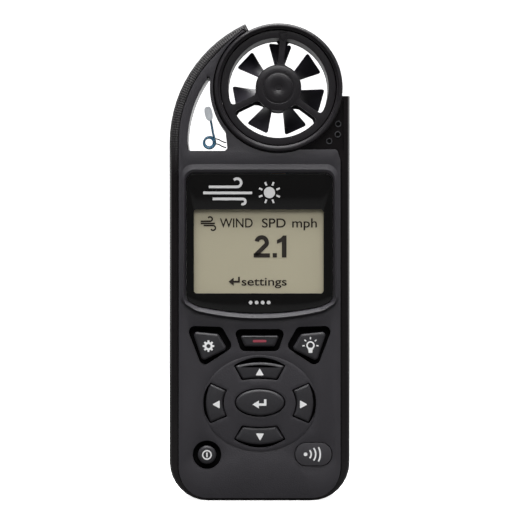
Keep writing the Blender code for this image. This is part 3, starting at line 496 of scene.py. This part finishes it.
# ------------------------------------------------------------------ vents
# Three small breathing holes of the pressure sensor, in the sunk field beside the collar. Each
# has a raised glossy lip moulded round it.
# The lips are coloured lighter grey than the black case round them: a painted highlight standing in for the
# glints on their rims.
vent_lip_painted_glint = surface("vent_lip_painted_glint", (0.07, 0.07, 0.075), 0.2, depth=0.02)
vent_profile = [(0.55, -10.9), (0.55, -11.2), (0.65, -11.32), (0.8, -11.32), (0.9, -11.15), (0.9, -10.9)]
for number, (x, z) in enumerate(((20.9, 100.3), (20.8, 97.5), (18.5, 95.7)), start=1):
    settle(turned(vent_profile, (x, 0, z), 32), f"vent_lip_painted_glint_{number}", vent_lip_painted_glint, "case", "case_gloss")

# ------------------------------------------------------------------ display rim
# The rim stands proud of the fascia and is moulded in one with it. Its inner slope is wide along
# the foot, where it faces up, and nearly upright along the top, where the rim is also lower.
lip_rows = [(grown(lens_outline(), 0.1), -11.6), (lens_outline(), -12.45)]
crest_steps = ((0.35, -12.95), (0.8, -13.75), (0.9, -13.93), (1.0, -14.0), (1.1, -13.96), (1.2, -13.8))
for share, depth in crest_steps:
    crest = []
    for (x0, z0), (x1, z1) in zip(lens_outline(), lip_outline()):
        height = min(1.0, max(0.0, (z0 - 51.5) / 4.0))
        reach = share * (0.8 - 0.45 * height)
        crest.append((x0 + (x1 - x0) * reach, z0 + (z1 - z0) * reach))
    lip_rows.append((crest, depth))
lip_rows += [(grown(lip_outline(), -0.25), face_y - 0.18), (lip_outline(), face_y + 0.02),
             (grown(lip_outline(), -0.3), face_y + 0.6)]
lip_bm = lofted(lip_rows)[0]
rim_root = -12.9 * MM
for vert in lip_bm.verts:
    rise = min(1.0, max(0.0, (vert.co.z / MM - 52.0) / 34.0))
    if vert.co.y < rim_root and rise > 0:
        vert.co.y = rim_root + (vert.co.y - rim_root) * (1.0 - 0.72 * rise)
settle(lip_bm, "display_rim", fascia_matte, "case", "fascia_matte", sharp=60)

# ------------------------------------------------------------------ navigation pad
# A shallow oval dome, moulded in one with the fascia in the same matte plastic. It has wells for
# the four arrow keys and the enter key.
up_cap = softened(bow((6.6, 35.9), (-6.6, 35.9), -1.0) + bow((-4.5, 32.3), (4.5, 32.3), 0.4))
up_hole = softened(bow((6.9, 36.0), (-6.9, 36.0), -2.2) + bow((-4.75, 32.05), (4.75, 32.05), 0.4), 1)
down_cap = softened(bow((-6.6, 16.5), (6.6, 16.5), -1.5) + bow((4.45, 19.9), (-4.45, 19.9), 0.4))
down_hole = softened(bow((-6.9, 16.4), (6.9, 16.4), -2.2) + bow((4.7, 20.15), (-4.7, 20.15), 0.4), 1)
left_cap = softened(bow((-13.0, 31.2), (-13.0, 20.9), -1.3) + bow((-8.8, 22.65), (-8.8, 29.4), 1.0))
left_hole = softened(bow((-13.1, 31.5), (-13.1, 20.6), -2.1) + bow((-8.55, 22.5), (-8.55, 29.55), 1.0), 1)
enter_cap = oval(0.1, 26.2, 6.47, 3.5, 72)
enter_hole = oval(0.1, 26.2, 6.75, 3.8, 72)


def dome_y(x, z):
    """Depth of the pad's surface at a point."""
    return face_y - 0.06 - 0.5 * (1.0 - min(1.0, (x / pad_half_x) ** 2 + ((z - pad_z) / pad_half_z) ** 2))


pad_bm = plate([oval(0, pad_z, pad_half_x, pad_half_z, 96), up_hole, down_hole, left_hole,
                mirrored(left_hole), enter_hole], face_y, -11.4)
for _ in range(3):
    long_edges = [edge for edge in pad_bm.edges if edge.calc_length() > 1.3 * MM]
    bmesh.ops.subdivide_edges(pad_bm, edges=long_edges, cuts=1, use_grid_fill=True)
bmesh.ops.triangulate(pad_bm, faces=pad_bm.faces[:])
ease(pad_bm, 0.18, face_y, 2)
for vert in pad_bm.verts:
    if vert.co.y < (face_y + 0.3) * MM:
        vert.co.y += (dome_y(vert.co.x / MM, vert.co.z / MM) - face_y) * MM
settle(pad_bm, "nav_pad", fascia_matte, "case", "fascia_matte", sharp=32)

# ------------------------------------------------------------------ display
# A bare LCD behind a gloss black printed lens with a clear window. The reading is black liquid
# crystal just under the glass: a wind sign, the quantity and unit, the value and a hint line.
lens_face_y, crystal_y = -12.7, -11.62
lens_black = surface("lens_black", (0.0040, 0.0038, 0.0038), 0.12, spread=0.1, tone=40.0, depth=0.01)
window_edge = rounded([(-17.5, 55.2), (17.0, 55.2), (17.0, 77.5), (-17.5, 77.5)], 0.8)
mask_bm = plate([grown(lens_outline(), -0.12), window_edge], lens_face_y, -12.0)
ease(mask_bm, 0.12, lens_face_y)
settle(mask_bm, "lens_mask", lens_black, "case", "lens_gloss", "display_lens")
lens_clear = surface("lens_clear", (0.02, 0.02, 0.02), 0.05, spread=0.02, depth=0.005)
lens_clear.node_tree.nodes["Principled BSDF"].inputs["Alpha"].default_value = 0.05
settle(plate([grown(window_edge, 0.05)], -12.3, -12.1), "lens_window", lens_clear, "case", "lens_gloss",
       "display_lens")
lcd_face = surface("lcd_face", (0.510, 0.468, 0.337), 0.6, spread=0.03, tone=120.0, depth=0.02)
dress(lcd_face, "lcd_panel")
crystal = surface("crystal", (0.016, 0.010, 0.006), 0.8, spread=0.1)


def lettering(text, left, base, height, width, name, bold=0.0):
    """Flat characters on the LCD, set from their left foot to a height and a width."""
    curve = bpy.data.curves.new(name, "FONT")
    curve.body = text
    curve.offset = bold
    item = bpy.data.objects.new(name, curve)
    scene.collection.objects.link(item)
    mesh = bpy.data.meshes.new_from_object(item.evaluated_get(bpy.context.evaluated_depsgraph_get()))
    bpy.data.objects.remove(item, do_unlink=True)
    across = [vert.co.x for vert in mesh.vertices]
    tall = [vert.co.y for vert in mesh.vertices if vert.co.y > 0]
    grow_x, grow_z = width / (max(across) - min(across)), height / max(tall)
    for vert in mesh.vertices:
        x, z = left + (vert.co.x - min(across)) * grow_x, base + vert.co.y * grow_z
        vert.co = Vector((x, crystal_y, z)) * MM
    bm = bmesh.new()
    bm.from_mesh(mesh)
    rear = bmesh.ops.extrude_face_region(bm, geom=bm.faces[:] + bm.edges[:])
    moved = [entry for entry in rear["geom"] if isinstance(entry, bmesh.types.BMVert)]
    bmesh.ops.translate(bm, verts=moved, vec=(0, -0.03 * MM, 0))
    settle(bm, name, crystal, "case", "lcd_glass")


lettering("WIND", -10.6, 72.75, 2.4, 8.75, "quantity_a", 0.01)
lettering("SPD", 0.6, 72.75, 2.4, 6.35, "quantity_b", 0.01)
lettering("mph", 8.65, 72.75, 2.4, 6.6, "unit", 0.01)
lettering("settings", -4.8, 57.3, 2.0, 12.0, "hint", 0.012)


def stroke(points, width):
    """The outline of a line of even width with square ends through flat points."""
    left_side, right_side = [], []
    for i, point in enumerate(points):
        here = Vector(point)
        before = Vector(points[max(0, i - 1)])
        after = Vector(points[min(len(points) - 1, i + 1)])
        along = (after - before).normalized()
        side = Vector((-along.y, along.x)) * (width / 2)
        left_side.append(tuple(here + side))
        right_side.append(tuple(here - side))
    return left_side + right_side[::-1]


def beam(x, z, degrees, start, end, width):
    """The outline of a short bar that points away from a centre."""
    across, up = math.cos(math.radians(degrees)), math.sin(math.radians(degrees))
    return stroke([(x + start * across, z + start * up), (x + end * across, z + end * up)], width)


def add_to(whole, part):
    """Move the part's mesh into the whole."""
    holder = bpy.data.meshes.new("holder")
    part.to_mesh(holder)
    part.free()
    whole.from_mesh(holder)
    bpy.data.meshes.remove(holder)


def print_flat(shapes, level, name, material, body, slot, thick=0.04):
    """Several flat shapes as one thin piece; each shape is a list of an outline and its holes."""
    whole = bmesh.new()
    for loops in shapes:
        add_to(whole, plate(loops, level - thick, level))
    settle(whole, name, material, body, slot)


gust_top = [(-15.7, 74.35), (-13.2, 74.35)] + arc(-13.2, 74.95, 0.6, -90, 150, 8)
gust_mid = [(-15.7, 73.8), (-11.9, 73.8)]
gust_low = [(-14.9, 73.25), (-12.4, 73.25)] + arc(-12.4, 72.6, 0.65, 90, -150, 8)
print_flat([[stroke(line, 0.42)] for line in (gust_top, gust_mid, gust_low)], crystal_y, "wind_sign",
           crystal, "case", "lcd_glass")
two = stroke(arc(0.55, 68.75, 1.35, 168, -28, 18) + [(-0.85, 65.6), (-0.95, 65.35)], 1.15)
two_foot = [(-1.6, 64.75), (2.75, 64.75), (2.75, 65.85), (-1.6, 65.85)]
one = [(5.9, 64.75), (7.15, 64.75), (7.15, 70.6), (6.2, 70.6), (5.6, 69.9), (4.6, 69.4), (4.6, 68.4),
       (5.9, 68.9)]
point = [(3.45, 64.75), (4.6, 64.75), (4.6, 65.9), (3.45, 65.9)]
print_flat([[two], [two_foot], [one], [point]], crystal_y, "reading", crystal, "case", "lcd_glass")
return_sign = [(-8.3, 58.3), (-6.9, 59.4), (-6.9, 58.55), (-5.75, 58.55), (-5.75, 59.6), (-5.25, 59.6),
               (-5.25, 58.05), (-6.9, 58.05), (-6.9, 57.2)]
print_flat([[return_sign]], crystal_y, "return_sign", crystal, "case", "lcd_glass")

emblem = [[stroke([(-13.5, 83.5), (-6.0, 83.5)] + arc(-6.0, 84.6, 1.1, -90, 140, 14), 0.7)],
          [stroke([(-15.0, 81.9), (-2.0, 81.9)], 0.7)],
          [stroke([(-12.5, 80.3), (-4.5, 80.3)] + arc(-4.5, 79.6, 0.7, 90, -120, 10)[1:], 0.7)],
          [oval(2.6, 82.0, 1.5, 1.5, 40)]]
emblem += [[beam(2.6, 82.0, 45 * ray + 22.5, 2.0, 3.0, 0.5)] for ray in range(8)]
lens_print = surface("lens_print", (0.60, 0.60, 0.60), 0.45, spread=0.04)
print_flat(emblem, lens_face_y, "lens_emblem", lens_print, "case", "lens_gloss")
print_flat([[oval(x, 52.75, 0.5, 0.5, 24)] for x in (-2.4, -0.8, 0.8, 2.4)], lens_face_y, "lens_dots",
           lens_print, "case", "lens_gloss")

# ------------------------------------------------------------------ keys
# Nine silicone rubber keys on flanges behind the fascia, with softly rounded shoulders. The signs
# on them are printed white, the one on the middle key is red.
key_rubber = surface("key_rubber", (0.0200, 0.0190, 0.0225), 0.48, spread=0.12, tone=200.0, depth=0.35)
# The key flanges are painted near black with little sheen, far darker than the key rubber: painted shade in
# the deep moats round the caps.
moat_painted_shade = surface("moat_painted_shade", (0.0016, 0.0014, 0.0018), 0.85)
moat_painted_shade.node_tree.nodes["Principled BSDF"].inputs["Specular IOR Level"].default_value = 0.15
print_white = surface("print_white", (0.84, 0.84, 0.84), 0.5, spread=0.04)
print_red = surface("print_red", (0.33, 0.05, 0.075), 0.5, spread=0.05)


def key(name, cap, hole, front):
    """One rubber key: a rounded cap on its wider flange, which is painted near black as shade in the moat.
    """
    shoulder = ((-0.06, 0.36), (-0.2, 0.16), (-0.42, 0.04), (-0.7, 0.0))
    rows = [(cap, -10.6), (cap, front + 0.62)]
    rows += [(grown(cap, inward), front + behind) for inward, behind in shoulder]
    bm, loops = lofted(rows)
    for ring in (loops[0], loops[-1]):
        bmesh.ops.triangle_fill(bm, use_beauty=True, use_dissolve=False, edges=ring)
    settle(bm, f"{name}_cap", key_rubber, name, "key_rubber", name, sharp=40)
    flange = plate([grown(hole, 0.35)], -10.9, -9.9)
    settle(flange, f"{name}_flange", moat_painted_shade, name, "key_rubber", name)


corner_front, capture_front, arrow_front, enter_front, power_front = -13.6, -13.4, -13.35, -13.92, -13.5
key("key_settings", settings_cap, settings_hole, corner_front)
key("key_backlight", mirrored(settings_cap), mirrored(settings_hole), corner_front)
key("key_capture", capture_cap, capture_hole, capture_front)
key("key_up", up_cap, up_hole, arrow_front)
key("key_down", down_cap, down_hole, arrow_front)
key("key_left", left_cap, left_hole, arrow_front)
key("key_right", mirrored(left_cap), mirrored(left_hole), arrow_front)
key("key_enter", enter_cap, enter_hole, enter_front)
key("key_power", power_cap, power_hole, power_front)


def print_key(shapes, front, key_name, ink=print_white):
    """The printed sign on one key."""
    name = key_name.removeprefix("key_") + "_sign"
    print_flat(shapes, front, name, ink, key_name, "white_plastic")


gear_x, gear_z = -13.6, 41.2
gear = []
for tooth in range(8):
    for angle, radius in ((-14, 1.12), (-9, 1.55), (9, 1.55), (14, 1.12)):
        turn = 45.0 * tooth + angle
        gear += arc(gear_x, gear_z, radius, turn, turn, 1)[:1]
print_key([[gear, oval(gear_x, gear_z, 0.55, 0.55, 24)]], corner_front, "key_settings")
bulb_x, bulb_z = 13.5, 41.4
bulb_foot = [(12.95, 40.1), (13.0, 39.4), (14.0, 39.4), (14.05, 40.1)]
bulb = softened(arc(bulb_x, bulb_z, 1.12, -50, 230, 20) + bulb_foot, 1)
bulb_hole = softened(arc(bulb_x, bulb_z, 0.72, -60, 240, 20), 1)
bulb_rays = [[beam(bulb_x, bulb_z + 0.05, degrees, 1.55, 2.15, 0.34)] for degrees in (-5, 42, 90, 138, 185)]
print_key([[bulb, bulb_hole]] + bulb_rays, corner_front, "key_backlight")
capture_bar = rounded([(-1.8, 42.2), (1.8, 42.2), (1.8, 42.85), (-1.8, 42.85)], 0.3)
print_key([[capture_bar]], capture_front, "key_capture", print_red)
arrows = {"key_up": [(-1.1, 33.4), (1.1, 33.4), (0.0, 35.3)],
          "key_down": [(-1.0, 18.0), (0.1, 16.0), (1.2, 18.0)],
          "key_left": [(-10.6, 26.8), (-12.6, 25.7), (-10.6, 24.6)],
          "key_right": [(10.7, 26.8), (12.7, 25.7), (10.7, 24.6)]}
for arrow_key, corners in arrows.items():
    print_key([[rounded(corners, 0.15, 4)]], arrow_front, arrow_key)
enter_sign = [(-1.9, 25.7), (-0.2, 26.75), (-0.2, 26.0), (1.15, 26.0), (1.15, 27.1), (1.8, 27.1),
              (1.8, 25.35), (-0.2, 25.35), (-0.2, 24.65)]
print_key([[enter_sign]], enter_front, "key_enter")
power_ring = [oval(power_x, power_z, 1.3, 1.3, 40), oval(power_x, power_z, 0.95, 0.95, 40)]
power_bar = rounded([(-14.2, 11.65), (-13.8, 11.65), (-13.8, 12.95), (-14.2, 12.95)], 0.1, 3)
print_key([power_ring, [power_bar]], power_front, "key_power")

# ------------------------------------------------------------------ badge
# A smooth oval plastic inlay, pressed into the lower right corner of the fascia. It is printed
# with a plain radio sign, a dot and three arcs.
badge_grey = surface("badge_grey", (0.040, 0.038, 0.043), 0.38, spread=0.08, depth=0.1)
badge_y = -13.18
badge_bm = ease(plate([grown(badge_edge, -0.05)], badge_y, -12.5), 0.18, badge_y)
settle(badge_bm, "badge", badge_grey, "case", "badge_gloss", "link_badge")
radio_x, radio_z = 12.2, 12.45
radio_waves = [[stroke(arc(radio_x, radio_z, reach, -half_turn, half_turn, 16), 0.42)]
               for reach, half_turn in ((1.5, 44), (2.7, 38), (3.9, 29))]
print_flat([[oval(radio_x, radio_z, 0.5, 0.5, 20)]] + radio_waves, badge_y, "badge_sign", print_white,
           "case", "badge_gloss")

# ------------------------------------------------------------------ impeller module
# A plug-in ring with a three-armed guard in front and behind. Jewels in the two hubs carry a
# seven-bladed impeller on a steel axle.


def guard_opening(arm):
    """The gap between an arm and the next one, with rounded corners."""
    outer, inner = math.degrees(0.85 / 13.35), math.degrees(0.72 / 6.1)
    next_arm = arm + 120.0
    loop = arc(ring_x, ring_z, 13.35, arm + outer, next_arm - outer, 40)
    loop += arc(ring_x, ring_z, 6.15, next_arm - inner, arm + inner, 24)
    return softened(loop, 7, 132)


guard_y = -12.4
ring_edge = oval(ring_x, ring_z, 15.2, 15.2, 144)
gaps = [guard_opening(arm) for arm in (84.5, 204.5, -35.5)]
guard_bm = ease(plate([ring_edge] + gaps, guard_y, -10.4), 0.4, guard_y, 4)
barrel = turned([(13.4, -12.0), (13.4, 4.0), (15.3, 4.0), (15.46, 3.8), (15.46, -11.7), (15.2, -11.9)],
                (ring_x, 0, ring_z), 144)
hub = turned([(0.0, -11.6), (4.15, -11.6), (4.2, -12.35), (4.35, -12.48), (5.7, -12.48), (6.0, -12.3),
              (6.1, -9.4), (0.0, -9.4)], (ring_x, 0, ring_z), 72)
add_to(guard_bm, barrel)
add_to(guard_bm, hub)
settle(guard_bm, "front_guard", module_black, "case", "impeller_black", "impeller_shroud")
cap_profile = [(0.0, -12.0), (0.7, -12.0), (0.8, -12.5), (0.95, -12.6), (3.6, -12.6), (3.82, -12.5),
               (3.9, -12.3), (3.9, -11.75), (0.0, -11.75)]
settle(turned(cap_profile, (ring_x, 0, ring_z), 72), "front_hub_cap", module_black, "case",
       "impeller_black", "hub_cap")
mark_edge = rounded([(4.9, 124.9), (7.6, 124.9), (6.25, 122.5)], 0.15, 3)
mark_hole = rounded([(5.4, 124.6), (7.1, 124.6), (6.25, 123.1)], 0.08, 3)
print_flat([[mark_edge, mark_hole]], guard_y, "module_mark", module_black, "case", "impeller_black", 0.3)
dress(module_black, "impeller_rear_guard")

blade_black = surface("blade_black", (0.085, 0.080, 0.098), 0.36, spread=0.14, tone=200.0, depth=0.15)
rotor_bm = turned([(0.6, -8.2), (4.6, -8.2), (5.4, -7.9), (5.9, -7.1), (5.9, 0.6), (5.6, 0.8), (3.3, 0.8),
                   (3.3, 0.4), (0.6, 0.4)], (0, 0, 0), 72)
blades, blade_root, blade_length, blade_turn = 7, 5.3, 6.7, 2.5
tip_round, blade_sides, rotor_middle = 0.9, 20, 3.7
for number in range(blades):
    turn_by = Matrix.Rotation(math.radians(blade_turn - number * 360 / blades), 4, "Y")
    sections = []
    for reach in (0.0, 1.0, 2.0, 3.0, 4.0, 5.0, 5.8, 6.0, 6.15, 6.3, 6.45, 6.55, 6.64, 6.7):
        out, left = reach / blade_length, blade_length - reach
        chord, rise = 1.9 + 4.5 * out, 7.4 - 1.6 * out
        corner = 0.0
        if left <= tip_round:
            corner = tip_round - math.sqrt(max(0.0, tip_round ** 2 - (tip_round - left) ** 2))
        length, lean = math.hypot(chord, rise) / 2 - corner, math.atan2(rise, chord)
        section = []
        for k in range(blade_sides):
            a = 2 * math.pi * k / blade_sides
            u = length * math.copysign(abs(math.cos(a)) ** 0.7, math.cos(a))
            v = (0.42 - 0.1 * out) * math.sin(a) + 0.5 * out * (1 - (u / length) ** 2)
            x = u * math.cos(lean) - v * math.sin(lean)
            y = u * math.sin(lean) + v * math.cos(lean) - rotor_middle
            section.append(rotor_bm.verts.new(turn_by @ (Vector((x, y, blade_root + reach)) * MM)))
        sections.append(section)
    skin(rotor_bm, sections)
    rotor_bm.faces.new(sections[0])
    rotor_bm.faces.new(sections[-1])
bmesh.ops.translate(rotor_bm, verts=rotor_bm.verts, vec=Vector((ring_x, 0, ring_z)) * MM)
settle(rotor_bm, "rotor", blade_black, "impeller_rotor", "impeller_black", "impeller", sharp=50)
steel = surface("steel", (0.55, 0.54, 0.53), 0.3, metal=1.0, depth=0.1)
jewel = surface("jewel", (0.35, 0.02, 0.05), 0.15, depth=0.02)
ferrite = surface("ferrite", (0.03, 0.03, 0.03), 0.5, metal=0.4)
dress(steel, "impeller_axle")
dress(jewel, "front_jewel", "rear_jewel")
dress(ferrite, "impeller_magnet")

# ------------------------------------------------------------------ temperature sensor
# A sealed white bead on a stiff blue lead that is wound into a small coil at the window's foot;
# two bare wires leave it towards the duct.


def tube(points, radius, sides=14):
    """A round wire through points in space, closed at both ends."""
    bm = bmesh.new()
    path = [Vector(p) for p in points]
    side = Vector((0, 1, 0))
    rings = []
    for i, here in enumerate(path):
        along = (path[min(i + 1, len(path) - 1)] - path[max(i - 1, 0)]).normalized()
        side = (side - along * side.dot(along)).normalized()
        other = along.cross(side)
        rings.append([bm.verts.new((here + (side * math.cos(a) + other * math.sin(a)) * radius) * MM)
                      for a in (2 * math.pi * k / sides for k in range(sides))])
    skin(bm, rings)
    bm.faces.new(rings[0])
    bm.faces.new(rings[-1])
    return bm


def smooth_path(points, steps=8):
    """A curve through the points."""
    path = [Vector(p) for p in points]
    path = [path[0] * 2 - path[1]] + path + [path[-1] * 2 - path[-2]]
    result = []
    for a, b, c, d in zip(path, path[1:], path[2:], path[3:]):
        for k in range(steps):
            t = k / steps
            result.append(0.5 * ((b * 2) + (c - a) * t + (a * 2 - b * 5 + c * 4 - d) * t * t
                                 + (b * 3 - a - c * 3 + d) * t ** 3))
    return result + [path[-2]]


bead_white_painted_glow = surface("bead_white_painted_glow", (0.74, 0.75, 0.76), 0.25, spread=0.05, tone=400.0, depth=0.05)
bead_shader = bead_white_painted_glow.node_tree.nodes["Principled BSDF"]
# Painted glow: the bead emits a little light of its own, in place of the light that would shine through it
# from behind.
bead_shader.inputs["Emission Color"].default_value = (0.9, 0.95, 1.0, 1.0)
bead_shader.inputs["Emission Strength"].default_value = 0.36
lead_blue = surface("lead_blue", (0.16, 0.42, 0.66), 0.3, spread=0.25, tone=400.0)
wire_dark = surface("wire_dark", (0.035, 0.04, 0.07), 0.4, spread=0.2, tone=400.0)
bead_profile = [(0.0, -1.95), (0.35, -1.9), (0.7, -1.6), (0.92, -1.1), (1.02, -0.4), (1.05, 0.3),
                (1.0, 1.0), (0.8, 1.6), (0.45, 1.9), (0.0, 1.97)]
bead_bm = turned(bead_profile, (0, 0, 0), 40, closed=False)
place_bead = Matrix.Rotation(math.radians(-12), 3, "Y") @ Matrix.Rotation(math.radians(90), 3, "X")
bmesh.ops.rotate(bead_bm, verts=bead_bm.verts, cent=(0, 0, 0), matrix=place_bead)
bmesh.ops.translate(bead_bm, verts=bead_bm.verts, vec=Vector((-13.7, -2.5, 103.35)) * MM)
settle(bead_bm, "sensor_bead", bead_white_painted_glow, "case", "bead_glass", "thermistor_bead", sharp=60)
lead_points = [(-13.15, -2.5, 101.6), (-12.85, -2.5, 100.0), (-12.5, -2.8, 98.0), (-12.15, -3.3, 96.8)]
coil_x, coil_z, coil_steps = -13.5, 95.6, 45
for i in range(1, coil_steps + 1):
    share = i / coil_steps
    angle = math.radians(40 - 810 * share)
    radius = 1.36 + 0.2 * math.sin(share * 9.0)
    lead_points.append((coil_x + radius * math.cos(angle), -3.5 + 2.0 * share,
                        coil_z + radius * math.sin(angle)))
settle(tube(smooth_path(lead_points, 5), 0.31), "sensor_lead", lead_blue, "case", "wire_blue",
       "thermistor_lead", sharp=80)
for number, (low, depth) in enumerate(((96.2, -1.9), (94.9, -1.0)), start=1):
    tail = smooth_path([(-11.9, depth - 0.3, low + 0.45), (-11.0, depth, low + 0.25),
                        (-10.0, depth, low - 0.3), (-9.0, depth, low - 0.62)])
    settle(tube(tail, 0.17, 10), f"tail_wire_{number}", wire_dark, "case", "wire_dark",
           f"probe_tail_{number}", sharp=80)

# ------------------------------------------------------------------ back and battery
# The battery door with its coin latch, four case screws, the brass tripod insert and the slotted cover of
# the humidity sensor, and the parts that show only with the door open. The coin slot is painted dark at its
# floor, as painted shade in the slot.
brass = surface("brass", (0.60, 0.42, 0.16), 0.32, metal=1.0, spread=0.1)
board_green = surface("board_green", (0.015, 0.07, 0.03), 0.45, spread=0.3, tone=500.0)
chip_black = surface("chip_black", (0.015, 0.015, 0.016), 0.5)
coil_copper = surface("coil_copper", (0.55, 0.22, 0.10), 0.35, metal=1.0, spread=0.2, grain=6000.0)
cell_skin = surface("cell_skin", (0.030, 0.10, 0.16), 0.35, spread=0.1)
frame_white = surface("frame_white", (0.62, 0.62, 0.60), 0.45)
grille_black = surface("grille_black", (0.014, 0.013, 0.015), 0.55)
dress(steel, "housing_screw_1", "housing_screw_2", "housing_screw_3", "housing_screw_4", "door_pin",
      "latch_shank", "battery_spring", "battery_plus_contact")
coin_steel_painted_shade = steel.copy()
coin_steel_painted_shade.name = "coin_steel_painted_shade"
# Painted shade: the latch steel goes near black towards the floor of the coin slot.
slot_painted_shade = mapped(coin_steel_painted_shade.node_tree, object_axis(coin_steel_painted_shade.node_tree, "Y"), 0.01374, 0.01354)
tint_where(coin_steel_painted_shade, slot_painted_shade, (0.02, 0.02, 0.02))
dress(coin_steel_painted_shade, "door_latch")
dress(brass, "tripod_insert")
dress(board_green, "circuit_board")
dress(chip_black, "pressure_sensor", "humidity_sensor")
dress(coil_copper, "impeller_pickup")
dress(cell_skin, "battery")
dress(frame_white, "display_frame", "backlight_panel")
dress(grille_black, "humidity_cover")
dress(key_rubber, "keypad_mat")
